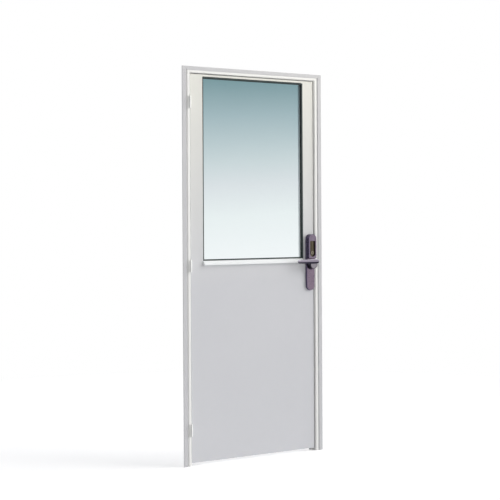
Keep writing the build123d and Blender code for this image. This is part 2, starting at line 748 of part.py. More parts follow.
# Thumbturn in the room, on a square tail that reaches through the case to the plug
turn_face = inside_face + hub_stand
with BuildPart() as thumbturn:
    rod_y(lock_x, cylinder_z, turn_face, turn_face + turn_base_thickness, turn_base_radius)
    slab(lock_x - turn_blade_width / 2, lock_x + turn_blade_width / 2, turn_face + turn_base_thickness,
         turn_face + turn_reach, cylinder_z - turn_blade_length / 2, cylinder_z + turn_blade_length / 2)
    blade_corners = thumbturn.edges().filter_by(Axis.Y).group_by(SortBy.LENGTH)[-1]
    fillet(blade_corners, (turn_blade_width - turn_blade_land) / 2)
    slab(lock_x - tail_size / 2, lock_x + tail_size / 2, case_front, turn_face,
         cylinder_z - tail_size / 2, cylinder_z + tail_size / 2)
finish(thumbturn, "thumbturn")

# Inside plate
with BuildPart() as inside_plate:
    with BuildSketch(Plane.XZ.offset(-leaf_back)):
        add(plate_outline(inside_plate_bottom, inside_plate_top, inside_plate_width,
                          inside_plate_middle_width))
    extrude(amount=-inside_plate_thickness)
    fillet(inside_plate.faces().sort_by(Axis.Y)[-1].edges(), plate_edge_round)
    rod_y(lock_x, lever_height, leaf_back, inside_face, neck_radius + running_clearance, mode=Mode.SUBTRACT)
    rod_y(lock_x, cylinder_z, leaf_back, inside_face, plug_radius, mode=Mode.SUBTRACT)
finish(inside_plate, "inside_plate")

with BuildPart() as inside_plate_screws:
    for screw_z in (inside_plate_bottom + inside_screw_foot_inset,
                    inside_plate_top - inside_screw_head_inset):
        rod_y(lock_x, screw_z, inside_face, inside_face + screw_dome_height, screw_head_radius)
finish(inside_plate_screws, "inside_plate_screws")


def build_lever(towards, plate_y, hub, heel_reach, heel_height, name):
    """A lever on one face: towards is -1 outside and 1 in the room."""
    arm_y = towards * (leaf_thickness / 2 + lever_centre_stand)
    near_y = arm_y - towards * arm_thickness / 2
    hub_y = plate_y + towards * hub_stand
    hub_top_y = near_y + towards * hub_overlap
    neck_end = towards * leaf_thickness / 2
    heel = lock_x + heel_reach - heel_height / 2
    tip = lock_x - arm_tip_reach + arm_tip_height / 2
    with BuildPart() as lever:
        with BuildSketch(Plane.XZ.offset(-near_y)):
            with BuildLine():
                Line((tip, arm_mid_z + arm_tip_height / 2), (heel, arm_mid_z + heel_height / 2))
                ThreePointArc((heel, arm_mid_z + heel_height / 2), (heel + heel_height / 2, arm_mid_z),
                              (heel, arm_mid_z - heel_height / 2))
                Line((heel, arm_mid_z - heel_height / 2), (tip, arm_mid_z - arm_tip_height / 2))
                ThreePointArc((tip, arm_mid_z - arm_tip_height / 2), (tip - arm_tip_height / 2, arm_mid_z),
                              (tip, arm_mid_z + arm_tip_height / 2))
            make_face()
        extrude(amount=-towards * arm_thickness)
        fillet(lever.faces().filter_by(Axis.Y).edges(), arm_round)
        rod_y(lock_x, lever_height, min(hub_y, hub_top_y), max(hub_y, hub_top_y), hub)
        rod_y(lock_x, lever_height, min(neck_end, hub_y), max(neck_end, hub_y), neck_radius)
        slab(lock_x - spindle_half, lock_x + spindle_half, min(neck_end, hub_y), max(neck_end, hub_y),
             lever_height - spindle_half, lever_height + spindle_half, mode=Mode.SUBTRACT)
    finish(lever, name)


build_lever(-1, plate_face, hub_radius, arm_heel_reach, arm_height, "outside_lever")
build_lever(1, inside_face, inside_hub_radius, inside_heel_reach, arm_tip_height, "inside_lever")

# Square spindle from lever to lever, and the follower on it inside the case
with BuildPart() as spindle:
    slab(lock_x - spindle_half, lock_x + spindle_half, plate_face - hub_stand, inside_face + hub_stand,
         lever_height - spindle_half, lever_height + spindle_half)
finish(spindle, "spindle")

with BuildPart() as follower:
    rod_y(lock_x, lever_height, -follower_thickness / 2, follower_thickness / 2, follower_radius)
    slab(lock_x - follower_arm_width / 2, lock_x + follower_arm_width / 2,
         -follower_thickness / 2, follower_thickness / 2, lever_height, lever_height + follower_arm)
    slab(lock_x - spindle_half, lock_x + spindle_half, -follower_thickness / 2, follower_thickness / 2,
         lever_height - spindle_half, lever_height + spindle_half, mode=Mode.SUBTRACT)
finish(follower, "follower")
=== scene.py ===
import json
import math

import bmesh
import bpy
from mathutils import Matrix, Vector


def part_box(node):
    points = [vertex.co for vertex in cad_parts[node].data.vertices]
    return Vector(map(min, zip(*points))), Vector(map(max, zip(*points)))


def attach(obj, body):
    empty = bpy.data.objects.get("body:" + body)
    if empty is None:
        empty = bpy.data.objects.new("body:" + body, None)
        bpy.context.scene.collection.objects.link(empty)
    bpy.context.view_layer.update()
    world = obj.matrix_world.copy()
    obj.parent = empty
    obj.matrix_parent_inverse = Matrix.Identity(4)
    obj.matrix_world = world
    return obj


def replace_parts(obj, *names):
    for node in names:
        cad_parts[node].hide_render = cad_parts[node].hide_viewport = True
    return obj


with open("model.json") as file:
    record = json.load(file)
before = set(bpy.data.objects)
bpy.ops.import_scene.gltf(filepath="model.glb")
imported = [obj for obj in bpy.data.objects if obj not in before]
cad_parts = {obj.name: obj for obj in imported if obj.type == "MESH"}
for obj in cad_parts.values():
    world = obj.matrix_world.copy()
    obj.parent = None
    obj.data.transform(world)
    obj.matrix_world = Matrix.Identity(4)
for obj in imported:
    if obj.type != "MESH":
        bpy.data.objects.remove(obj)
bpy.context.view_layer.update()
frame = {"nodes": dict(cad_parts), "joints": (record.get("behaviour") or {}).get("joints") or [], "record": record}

# A half-glazed door with its frame, dressed for one photograph. Metres, X right, Y into the room, Z up.

nodes = frame["nodes"]

MM = 0.001
OUTWARD = (0.0, -1.0, 0.0)
INWARD = (0.0, 1.0, 0.0)
UPWARD = (0.0, 0.0, 1.0)

# Tones, as linear colours: each drifts over its surface towards the shade that follows it
FRAME_RIB = (0.84, 0.84, 0.815)
FRAME_RIB_SHADE = (0.79, 0.79, 0.775)
FRAME_BAND = (0.565, 0.565, 0.575)
FRAME_BAND_SHADE = (0.525, 0.53, 0.545)
# The leaf's foot tones are painted shade and its head tones painted light from above
LEAF_FOOT_PAINTED_SHADE = (0.60, 0.605, 0.625)
LEAF_FOOT_PAINTED_SHADE_DRIFT = (0.575, 0.583, 0.605)
LEAF_HEAD_PAINTED_LIGHT = (0.735, 0.735, 0.68)
LEAF_HEAD_PAINTED_LIGHT_DRIFT = (0.70, 0.70, 0.65)
BEAD_COAT = (0.86, 0.88, 0.88)
BEAD_COAT_SHADE = (0.80, 0.82, 0.83)
HINGE_COAT = (0.86, 0.86, 0.84)
HINGE_COAT_SHADE = (0.85, 0.85, 0.83)
MILL_METAL = (0.62, 0.63, 0.65)
MILL_METAL_SHADE = (0.50, 0.51, 0.53)
CORE_BOARD = (0.70, 0.66, 0.55)
CORE_BOARD_SHADE = (0.60, 0.56, 0.46)
GASKET_BLACK = (0.030, 0.045, 0.045)
GASKET_BLACK_SHADE = (0.05, 0.06, 0.06)
SEAL_GREY = (0.16, 0.16, 0.165)
SEAL_GREY_SHADE = (0.11, 0.11, 0.115)
LOCK_FACE = (0.26, 0.20, 0.26)
LOCK_FACE_SHADE = (0.185, 0.14, 0.19)
HOUSING_FACE = (0.265, 0.215, 0.28)
HOUSING_FACE_SHADE = (0.17, 0.135, 0.19)
# The lever's top tones are a painted highlight on the arm's upward faces
LEVER_TOP_PAINTED_HIGHLIGHT = (0.85, 0.81, 0.90)
LEVER_TOP_PAINTED_HIGHLIGHT_SHADE = (0.66, 0.62, 0.72)
WINDOW_GOLD = (0.18, 0.15, 0.10)
WINDOW_GOLD_SHADE = (0.07, 0.06, 0.045)
CYLINDER_BRASS = (0.27, 0.24, 0.19)
CYLINDER_BRASS_SHADE = (0.17, 0.15, 0.11)
STEEL = (0.55, 0.56, 0.58)
STEEL_SHADE = (0.42, 0.43, 0.45)

# Tones that don't drift
# Painted shade on the plating's edges and sides
LOCK_EDGE_PAINTED_SHADE = (0.10, 0.08, 0.14)
LEVER_FACE = (0.30, 0.27, 0.33)
HUB_FACE = (0.28, 0.26, 0.29)
# Painted shade under the lever's arm and on the hub's rim
LEVER_UNDER_PAINTED_SHADE = (0.028, 0.025, 0.042)
# Painted shadow of the lever's hub on the lock plate
HUB_PAINTED_SHADOW = (0.03, 0.026, 0.04)

# How far the frame's darker band reaches in from its outer edge, on the jambs and on the head
JAMB_BAND = 27 * MM
HEAD_BAND = 20.5 * MM

# The share of the leaf's height at which its coat starts to turn from the foot's painted shade to the head's
# painted light
LEAF_PAINTED_LIGHT_TURN = 0.45

# The glass's tint, which carries a painted reflection, from its foot to its head, and how far its lines rise for
# each metre to the right
GLASS_PAINTED_REFLECTION_TINTS = (
    (0.0, (0.88, 0.93, 0.94)),
    (0.25, (0.80, 0.87, 0.875)),
    (0.42, (0.69, 0.75, 0.775)),
    (0.55, (0.57, 0.665, 0.685)),
    (0.65, (0.475, 0.583, 0.61)),
    (0.80, (0.335, 0.46, 0.495)),
    (1.0, (0.16, 0.29, 0.315)),
)
GLASS_PAINTED_REFLECTION_RISE = 0.055
GLASS_IOR = 1.5

# The lever's plating: the arm's height, how much of it gets painted shade from below, and how far the hub's face
# reaches before its rim gets painted shade
ARM_HEIGHT = 26 * MM
ARM_PAINTED_SHADE_EDGE = 10.5 * MM
HUB_BRIGHT = 19.5 * MM

# How far the painted shadow round the hub on the lock plate reaches from the lever's axis, and how soft a
# plating's edges are
LEVER_AXIS = next(joint["pos_m"] for joint in frame["joints"] if joint["name"] == "lever_turn")
HUB_PAINTED_SHADOW_REACH = 27.5 * MM
SOFT_EDGE = 1.5 * MM

# How squarely a surface faces where a mask starts and where it is full: past the flat faces' mask a plating gets
# painted shade, and the arm's top gets a painted highlight
FLAT_FACE = (0.90, 0.995)
ARM_TOP = (0.1, 0.85)

# The way a grain runs, as how finely it is drawn along X, Y and Z
UPRIGHT = (1100.0, 1100.0, 16.0)
LEVEL = (16.0, 1100.0, 1100.0)
EVEN = (700.0, 700.0, 700.0)

# Bump and shine of the sprayed coats, the metals and the rubbers
COAT_BUMP = 0.12
COAT_DEPTH = 0.4 * MM
COAT_SPECULAR = 0.4
METAL_BUMP = 0.25
METAL_WEAR = 0.5
PLATING_ROUGHNESS = 0.27
LEVER_ROUGHNESS = 0.2
RUBBER_BUMP = 0.3
RUBBER_WEAR = 0.4
RUBBER_ROUGHNESS = 0.62
RUBBER_SPECULAR = 0.35
GRAIN_DEPTH = 0.2 * MM


def new_node(tree, kind, **settings):
    """A shader node with its settings."""
    made = tree.nodes.new(kind)
    for name, value in settings.items():
        setattr(made, name, value)
    return made


def new_group(name, inputs, outputs):
    """An empty shader group with named sockets, given as (title, kind, value) and (title, kind)."""
    group = bpy.data.node_groups.new(name, "ShaderNodeTree")
    for title, kind, value in inputs:
        socket = group.interface.new_socket(name=title, in_out="INPUT", socket_type=kind)
        socket.default_value = value
    for title, kind in outputs:
        group.interface.new_socket(name=title, in_out="OUTPUT", socket_type=kind)
    return group, new_node(group, "NodeGroupInput"), new_node(group, "NodeGroupOutput")


def noise(tree, vector, scale, detail=3.0, roughness=0.55):
    """A noise on a vector, from 0 to 1."""
    made = new_node(tree, "ShaderNodeTexNoise")
    made.inputs["Scale"].default_value = scale
    made.inputs["Detail"].default_value = detail
    made.inputs["Roughness"].default_value = roughness
    tree.links.new(vector, made.inputs["Vector"])
    return made.outputs["Fac"]


def remap(tree, value, low, high, to_low=0.0, to_high=1.0):
    """A value carried from one range to another, held at its ends."""
    made = new_node(tree, "ShaderNodeMapRange")
    made.inputs["From Min"].default_value = low
    made.inputs["From Max"].default_value = high
    made.inputs["To Min"].default_value = to_low
    made.inputs["To Max"].default_value = to_high
    tree.links.new(value, made.inputs["Value"])
    return made.outputs["Result"]


def blend_colours(tree, factor, first, second):
    """Two colours mixed by a factor; each colour is a socket or a plain value."""
    made = new_node(tree, "ShaderNodeMix", data_type="RGBA")
    tree.links.new(factor, made.inputs["Factor"])
    for title, colour in (("A", first), ("B", second)):
        socket = [s for s in made.inputs if s.name == title and s.type == "RGBA"][0]
        if isinstance(colour, tuple):
            socket.default_value = (*colour, 1.0)
        else:
            tree.links.new(colour, socket)
    return [s for s in made.outputs if s.type == "RGBA"][0]


def maths(tree, operation, first, second=0.0):
    """One sum on a socket and a socket or number."""
    made = new_node(tree, "ShaderNodeMath", operation=operation)
    for place, value in enumerate((first, second)):
        if isinstance(value, (int, float)):
            made.inputs[place].default_value = value
        else:
            tree.links.new(value, made.inputs[place])
    return made.outputs[0]


def weighted(tree, first, second, share):
    """The first value by its share, with the second making up the rest."""
    first_part = maths(tree, "MULTIPLY", first, share)
    return maths(tree, "ADD", first_part, maths(tree, "MULTIPLY", second, 1.0 - share))


def surface_place(tree):
    """Where a point of the surface is, as the piece stands at rest."""
    return new_node(tree, "ShaderNodeTexCoord").outputs["Object"]


def parts_of(tree, vector):
    """A vector's X, Y and Z, by name."""
    made = new_node(tree, "ShaderNodeSeparateXYZ")
    tree.links.new(vector, made.inputs["Vector"])
    return made.outputs


def make_coat_group():
    """A sprayed coat: broad tonal drift, a finer mottle, rubbed patches and fine orange peel."""
    group, inner, outer = new_group(
        "sprayed_coat",
        [("Colour", "NodeSocketColor", (0.8, 0.8, 0.8, 1)), ("Shade", "NodeSocketColor", (0.7, 0.7, 0.7, 1)),
         ("Drift", "NodeSocketFloat", 0.4), ("Roughness", "NodeSocketFloat", 0.4)],
        [("Colour", "NodeSocketColor"), ("Roughness", "NodeSocketFloat"), ("Height", "NodeSocketFloat")])
    place = surface_place(group)
    drift = noise(group, place, scale=2.3, detail=4.0)
    mottle = noise(group, place, scale=34.0)
    both = remap(group, weighted(group, drift, mottle, share=0.7), low=0.36, high=0.64)
    factor = maths(group, "MULTIPLY", both, inner.outputs["Drift"])
    colour = blend_colours(group, factor, inner.outputs["Colour"], inner.outputs["Shade"])
    patches = noise(group, place, scale=11.0, detail=5.0)
    rubbed = remap(group, patches, low=0.3, high=0.7, to_low=-0.06, to_high=0.08)
    peel = noise(group, place, scale=420.0, detail=2.0, roughness=0.5)
    group.links.new(colour, outer.inputs["Colour"])
    group.links.new(maths(group, "ADD", inner.outputs["Roughness"], rubbed), outer.inputs["Roughness"])
    group.links.new(peel, outer.inputs["Height"])
    return group


def make_grain_group():
    """Drawn or brushed metal: fine streaks along one axis, with worn, smoother patches."""
    group, inner, outer = new_group(
        "drawn_grain",
        [("Colour", "NodeSocketColor", (0.5, 0.5, 0.5, 1)), ("Shade", "NodeSocketColor", (0.3, 0.3, 0.3, 1)),
         ("Stretch", "NodeSocketVector", (900.0, 900.0, 14.0)), ("Roughness", "NodeSocketFloat", 0.3),
         ("Wear", "NodeSocketFloat", 0.5)],
        [("Colour", "NodeSocketColor"), ("Roughness", "NodeSocketFloat"), ("Height", "NodeSocketFloat")])
    place = surface_place(group)
    stretched = new_node(group, "ShaderNodeVectorMath", operation="MULTIPLY")
    group.links.new(place, stretched.inputs[0])
    group.links.new(inner.outputs["Stretch"], stretched.inputs[1])
    streaks = noise(group, stretched.outputs["Vector"], scale=1.0, roughness=0.6)
    worn = noise(group, place, scale=26.0, detail=5.0)
    factor = remap(group, weighted(group, streaks, worn, share=0.6), low=0.35, high=0.65)
    colour = blend_colours(group, factor, inner.outputs["Colour"], inner.outputs["Shade"])
    polish = remap(group, worn, low=0.4, high=0.68, to_low=0.0, to_high=-0.12)
    worn_roughness = maths(group, "ADD", inner.outputs["Roughness"],
                           maths(group, "MULTIPLY", polish, inner.outputs["Wear"]))
    roughness = maths(group, "ADD", worn_roughness,
                      remap(group, streaks, low=0.3, high=0.7, to_low=-0.05, to_high=0.07))
    group.links.new(colour, outer.inputs["Colour"])
    group.links.new(roughness, outer.inputs["Roughness"])
    group.links.new(streaks, outer.inputs["Height"])
    return group


def make_facing_group():
    """How far a surface faces along one of the object's own axes, from 0 to 1 between two limits."""
    group, inner, outer = new_group(
        "facing_mask",
        [("Axis", "NodeSocketVector", INWARD), ("From", "NodeSocketFloat", 0.5),
         ("To", "NodeSocketFloat", 0.9)],
        [("Mask", "NodeSocketFloat")])
    along = new_node(group, "ShaderNodeVectorMath", operation="DOT_PRODUCT")
    group.links.new(new_node(group, "ShaderNodeTexCoord").outputs["Normal"], along.inputs[0])
    group.links.new(inner.outputs["Axis"], along.inputs[1])
    share = new_node(group, "ShaderNodeMapRange")
    group.links.new(along.outputs["Value"], share.inputs["Value"])
    group.links.new(inner.outputs["From"], share.inputs["From Min"])
    group.links.new(inner.outputs["To"], share.inputs["From Max"])
    group.links.new(share.outputs["Result"], outer.inputs["Mask"])
    return group


coat_group = make_coat_group()
grain_group = make_grain_group()
facing_group = make_facing_group()


def new_material(name):
    """A material with its Principled shader, ready for its colour and bump."""
    material = bpy.data.materials.new(name)
    material.use_nodes = True
    tree = material.node_tree
    shader = [n for n in tree.nodes if n.type == "BSDF_PRINCIPLED"][0]
    return material, tree, shader


def place_group(tree, group, **values):
    """A shader group in a material, with its own values."""
    made = new_node(tree, "ShaderNodeGroup", node_tree=group)
    for name, value in values.items():
        socket = made.inputs[name]
        if isinstance(value, tuple) and socket.type == "RGBA":
            socket.default_value = (*value, 1.0)
        elif isinstance(value, (tuple, int, float)):
            socket.default_value = value
        else:
            tree.links.new(value, socket)
    return made


def raise_bump(tree, shader, height, strength, depth):
    """A bump from a height into the shader's normal."""
    bump = new_node(tree, "ShaderNodeBump")
    bump.inputs["Strength"].default_value = strength
    bump.inputs["Distance"].default_value = depth
    tree.links.new(height, bump.inputs["Height"])
    tree.links.new(bump.outputs["Normal"], shader.inputs["Normal"])


def finish_surface(tree, shader, effect, strength, depth, colour=None):
    """An effect group's roughness and height led to the shader, with its own colour or the one given."""
    tree.links.new(effect.outputs["Colour"] if colour is None else colour, shader.inputs["Base Color"])
    tree.links.new(effect.outputs["Roughness"], shader.inputs["Roughness"])
    raise_bump(tree, shader, effect.outputs["Height"], strength, depth)


def spray(tree, shader, **values):
    """A sprayed satin coat on a shader."""
    finish_surface(tree, shader, place_group(tree, coat_group, **values), COAT_BUMP, COAT_DEPTH)
    shader.inputs["Specular IOR Level"].default_value = COAT_SPECULAR


def coat_material(name, colour, shade, drift, roughness):
    """A sprayed coat of one tone."""
    material, tree, shader = new_material(name)
    spray(tree, shader, Colour=colour, Shade=shade, Drift=drift, Roughness=roughness)
    return material


def metal_material(name, colour, shade, roughness):
    """A metal with drawn or brushed grain."""
    material, tree, shader = new_material(name)
    effect = place_group(tree, grain_group, Colour=colour, Shade=shade, Stretch=UPRIGHT, Roughness=roughness,
                         Wear=METAL_WEAR)
    finish_surface(tree, shader, effect, METAL_BUMP, GRAIN_DEPTH)
    shader.inputs["Metallic"].default_value = 1.0
    return material


def rubber_material(name, colour, shade):
    """Extruded rubber: matt, with a faint bloom and a fine surface."""
    material, tree, shader = new_material(name)
    effect = place_group(tree, grain_group, Colour=colour, Shade=shade, Stretch=EVEN,
                         Roughness=RUBBER_ROUGHNESS, Wear=RUBBER_WEAR)
    finish_surface(tree, shader, effect, RUBBER_BUMP, GRAIN_DEPTH)
    shader.inputs["Specular IOR Level"].default_value = RUBBER_SPECULAR
    return material


def facing(tree, axis, limits):
    """A mask of where a surface faces along an axis."""
    return place_group(tree, facing_group, Axis=axis, From=limits[0], To=limits[1]).outputs["Mask"]


def flat_faces(tree):
    """A mask of the flat faces towards the outside and towards the room."""
    return maths(tree, "MAXIMUM", facing(tree, OUTWARD, FLAT_FACE), facing(tree, INWARD, FLAT_FACE))


def away_from_lever_axis(tree):
    """The distance from the axis that the levers turn about."""
    flat_place = new_node(tree, "ShaderNodeVectorMath", operation="MULTIPLY")
    flat_place.inputs[1].default_value = (1.0, 0.0, 1.0)
    tree.links.new(surface_place(tree), flat_place.inputs[0])
    away = new_node(tree, "ShaderNodeVectorMath", operation="DISTANCE")
    tree.links.new(flat_place.outputs["Vector"], away.inputs[0])
    away.inputs[1].default_value = LEVER_AXIS
    return away.outputs["Value"]


def plated_material(name, face, shade, with_hub_painted_shadow=False):
    """A brushed plating: bright on flat faces, with painted shade on its edges and sides and, if asked, a painted
    shadow round the lever's hub.
    """
    material, tree, shader = new_material(name)
    effect = place_group(tree, grain_group, Colour=face, Shade=shade, Stretch=UPRIGHT,
                         Roughness=PLATING_ROUGHNESS, Wear=METAL_WEAR)
    colour = blend_colours(tree, flat_faces(tree), LOCK_EDGE_PAINTED_SHADE, effect.outputs["Colour"])
    if with_hub_painted_shadow:
        # A painted shadow of the hub, round the lever's axis
        away = away_from_lever_axis(tree)
        near = remap(tree, away, HUB_PAINTED_SHADOW_REACH - SOFT_EDGE, HUB_PAINTED_SHADOW_REACH + MM, to_low=1.0, to_high=0.0)
        colour = blend_colours(tree, near, colour, HUB_PAINTED_SHADOW)
    finish_surface(tree, shader, effect, METAL_BUMP, GRAIN_DEPTH, colour)
    shader.inputs["Metallic"].default_value = 1.0
    return material


def lever_material():
    """The lever's plating: a painted highlight on top of the arm, plainer on its face and the hub's, painted shade
    elsewhere.
    """
    material, tree, shader = new_material("lever_satin")
    effect = place_group(tree, grain_group, Colour=LEVER_TOP_PAINTED_HIGHLIGHT, Shade=LEVER_TOP_PAINTED_HIGHLIGHT_SHADE, Stretch=LEVEL,
                         Roughness=LEVER_ROUGHNESS, Wear=METAL_WEAR)
    arm_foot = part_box("outside_lever")[1].z - ARM_HEIGHT
    painted_shade_to = arm_foot + ARM_PAINTED_SHADE_EDGE
    level = parts_of(tree, surface_place(tree))["Z"]
    away = away_from_lever_axis(tree)
    below_arm = remap(tree, level, arm_foot - MM, arm_foot, to_low=1.0, to_high=0.0)
    inside_rim = remap(tree, away, HUB_BRIGHT, HUB_BRIGHT + SOFT_EDGE, to_low=1.0, to_high=0.0)
    hub_face = maths(tree, "MULTIPLY", flat_faces(tree), maths(tree, "MULTIPLY", below_arm, inside_rim))
    # Below this height the arm's face and the hub's rim get painted shade
    arm_face = remap(tree, level, painted_shade_to - MM, painted_shade_to + MM)
    colour = blend_colours(tree, arm_face, LEVER_UNDER_PAINTED_SHADE, LEVER_FACE)
    colour = blend_colours(tree, facing(tree, UPWARD, ARM_TOP), colour, effect.outputs["Colour"])
    colour = blend_colours(tree, hub_face, colour, HUB_FACE)
    finish_surface(tree, shader, effect, METAL_BUMP, GRAIN_DEPTH, colour)
    shader.inputs["Metallic"].default_value = 1.0
    return material


def frame_material():
    """The frame's coat: the rib beside the leaf is whiter than the band against the wall."""
    material, tree, shader = new_material("frame_coat_satin")
    jamb_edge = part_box("jamb_lock_side")[1].x - JAMB_BAND
    head_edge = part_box("head_rail")[1].z - HEAD_BAND
    parts = parts_of(tree, surface_place(tree))
    on_jamb = remap(tree, maths(tree, "ABSOLUTE", parts["X"]), jamb_edge - MM, jamb_edge + MM)
    on_head = remap(tree, parts["Z"], head_edge - MM, head_edge + MM)
    band = maths(tree, "MAXIMUM", on_jamb, on_head)
    spray(tree, shader,
          Colour=blend_colours(tree, band, FRAME_RIB, FRAME_BAND),
          Shade=blend_colours(tree, band, FRAME_RIB_SHADE, FRAME_BAND_SHADE),
          Drift=0.5, Roughness=0.38)
    return material


def leaf_material_with_painted_light():
    """The leaf's coat with painted light: painted shade leaves it cooler and a shade deeper at the foot, painted
    light from above leaves it warmer and paler towards the head.
    """
    material, tree, shader = new_material("leaf_coat_painted_light")
    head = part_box("front_skin")[1].z
    place = surface_place(tree)
    wander = remap(tree, noise(tree, place, scale=1.6), low=0.3, high=0.7, to_low=-0.05, to_high=0.05)
    height = maths(tree, "ADD", parts_of(tree, place)["Z"], wander)
    share = remap(tree, height, LEAF_PAINTED_LIGHT_TURN * head, head)
    spray(tree, shader,
          Colour=blend_colours(tree, share, LEAF_FOOT_PAINTED_SHADE, LEAF_HEAD_PAINTED_LIGHT),
          Shade=blend_colours(tree, share, LEAF_FOOT_PAINTED_SHADE_DRIFT, LEAF_HEAD_PAINTED_LIGHT_DRIFT),
          Drift=0.5, Roughness=0.42)
    return material


def glass_material_with_painted_reflection():
    """Float glass whose tint carries a painted reflection, deepest at its head and clearing towards its foot."""
    material, tree, shader = new_material("glass_painted_reflection")
    low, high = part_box("glass_pane")
    place = surface_place(tree)
    parts = parts_of(tree, place)
    level = maths(tree, "ADD", parts["Z"], maths(tree, "MULTIPLY", parts["X"], -GLASS_PAINTED_REFLECTION_RISE))
    drift = noise(tree, place, scale=1.4, detail=2.0)
    wander = remap(tree, drift, low=0.3, high=0.7, to_low=-0.012, to_high=0.012)
    share = remap(tree, maths(tree, "ADD", level, wander), low.z, high.z)
    ramp = new_node(tree, "ShaderNodeValToRGB")
    elements = ramp.color_ramp.elements
    for height, tint in GLASS_PAINTED_REFLECTION_TINTS[1:-1]:
        elements.new(height)
    for element, (height, tint) in zip(elements, GLASS_PAINTED_REFLECTION_TINTS):
        element.position = height
        element.color = (*tint, 1.0)
    tree.links.new(share, ramp.inputs["Fac"])
    tree.links.new(ramp.outputs["Color"], shader.inputs["Base Color"])
    smears = noise(tree, place, scale=7.0, detail=6.0)
    smeared = remap(tree, smears, low=0.45, high=0.75, to_low=0.0, to_high=0.05)
    tree.links.new(smeared, shader.inputs["Roughness"])
    raise_bump(tree, shader, noise(tree, place, scale=5.0, detail=1.0), strength=0.02, depth=MM)
    shader.inputs["Transmission Weight"].default_value = 1.0
    shader.inputs["IOR"].default_value = GLASS_IOR
    return material


frame_coat = frame_material()
leaf_coat = leaf_material_with_painted_light()
bead_coat = coat_material("bead_coat_satin", BEAD_COAT, BEAD_COAT_SHADE, drift=0.4, roughness=0.34)
hinge_coat = coat_material("hinge_coat_satin", HINGE_COAT, HINGE_COAT_SHADE, drift=0.4, roughness=0.4)
core_board = coat_material("core_board_matt", CORE_BOARD, CORE_BOARD_SHADE, drift=0.8, roughness=0.8)
section_metal = metal_material("section_mill", MILL_METAL, MILL_METAL_SHADE, roughness=0.38)
steel = metal_material("steel_plated", STEEL, STEEL_SHADE, roughness=0.34)
lock_metal = plated_material("lock_satin", LOCK_FACE, LOCK_FACE_SHADE, with_hub_painted_shadow=True)
housing_metal = plated_material("housing_satin", HOUSING_FACE, HOUSING_FACE_SHADE)
lever_metal = lever_material()
window_gold = metal_material("window_gold", WINDOW_GOLD, WINDOW_GOLD_SHADE, roughness=0.35)
cylinder_brass = metal_material("cylinder_brass", CYLINDER_BRASS, CYLINDER_BRASS_SHADE, roughness=0.3)
glass = glass_material_with_painted_reflection()
gasket_rubber = rubber_material("gasket_black", GASKET_BLACK, GASKET_BLACK_SHADE)
seal_rubber = rubber_material("seal_grey", SEAL_GREY, SEAL_GREY_SHADE)

MATERIAL_OF_SLOT = {
    "frame_coat": frame_coat,
    "leaf_coat": leaf_coat,
    "leaf_section": section_metal,
    "bead_coat": bead_coat,
    "hinge_coat": hinge_coat,
    "core_board": core_board,
    "glass": glass,
    "gasket_rubber": gasket_rubber,
    "seal_rubber": seal_rubber,
    "lock_metal": lock_metal,
    "window_brass": window_gold,
    "cylinder_brass": cylinder_brass,
    "steel": steel,
}
MATERIAL_OF_NODE = {
    "outside_lever": lever_metal,
    "inside_lever": lever_metal,
    "outside_housing": housing_metal,
    "thumbturn": housing_metal,
}

for subpart in frame["record"]["subparts"]:
    name = subpart["node"]
    material = MATERIAL_OF_NODE.get(name, MATERIAL_OF_SLOT[subpart["material_slot"]])
    for slot in nodes[name].material_slots:
        slot.material = material


def place_in_scene(made):
    """An object put into the scene."""
    bpy.context.scene.collection.objects.link(made)
    return made


def new_piece(name, mesh_maker, material, body):
    """A mesh piece that rides on a body."""
    form = bmesh.new()
    mesh_maker(form)
    bmesh.ops.recalc_face_normals(form, faces=form.faces)
    mesh = bpy.data.meshes.new(name)
    form.to_mesh(mesh)
    form.free()
    piece = place_in_scene(bpy.data.objects.new(name, mesh))
    mesh.materials.append(material)
    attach(piece, body)
    return piece


CORNERS = (("hinge_side", "foot"), ("lock_side", "foot"), ("lock_side", "head"), ("hinge_side", "head"))


def sweep_round_opening(form, box, profile_of_side):
    """Profiles of (inset, y) points, one for each side, carried round a rectangle with mitred corners."""
    low, high = box
    rings = []
    for side, level in CORNERS:
        ring = []
        for (inset_x, depth), (inset_z, _) in zip(profile_of_side(side), profile_of_side(level)):
            along_x = low.x + inset_x if side == "hinge_side" else high.x - inset_x
            along_z = low.z + inset_z if level == "foot" else high.z - inset_z
            ring.append(form.verts.new((along_x, depth, along_z)))
        rings.append(ring)
    for here, there in zip(rings, rings[1:] + rings[:1]):
        for step in range(len(here)):
            after = (step + 1) % len(here)
            form.faces.new((here[step], there[step], there[after], here[after]))


def draw_strip(form, profile, start, end, across):
    """A profile of (across, y) points drawn straight from start to end, with closed ends."""
    rings = []
    for place in (start, end):
        ring = [form.verts.new(place + across * offset + Vector((0, depth, 0))) for offset, depth in profile]
        rings.append(ring)
        form.faces.new(ring)
    count = len(profile)
    for step in range(count):
        after = (step + 1) % count
        form.faces.new((rings[0][step], rings[1][step], rings[1][after], rings[0][after]))


# How far the outside gasket reaches over the glass and over the skin on each side
GASKET_LAPS = {
    "hinge_side": (4.6 * MM, 3.2 * MM),
    "lock_side": (0.4 * MM, 9.0 * MM),
    "head": (5.0 * MM, 4.2 * MM),
    "foot": (5.0 * MM, 4.0 * MM),
}

# Its lip: how its rim leans in and rises off the skin, its flat, and its slope down to a toe on the glass
RIM_LEAN = 0.2 * MM
RIM_RISE = 0.5 * MM
FLAT_INSET = 1.2 * MM
FLAT_RISE = 0.9 * MM
FLAT_PAST_SKIN = 0.3 * MM
SLOPE_SHARE = 0.4
SLOPE_RISE = 0.2 * MM
TOE_WIDTH = 0.6 * MM
TOE_RISE = 1.4 * MM

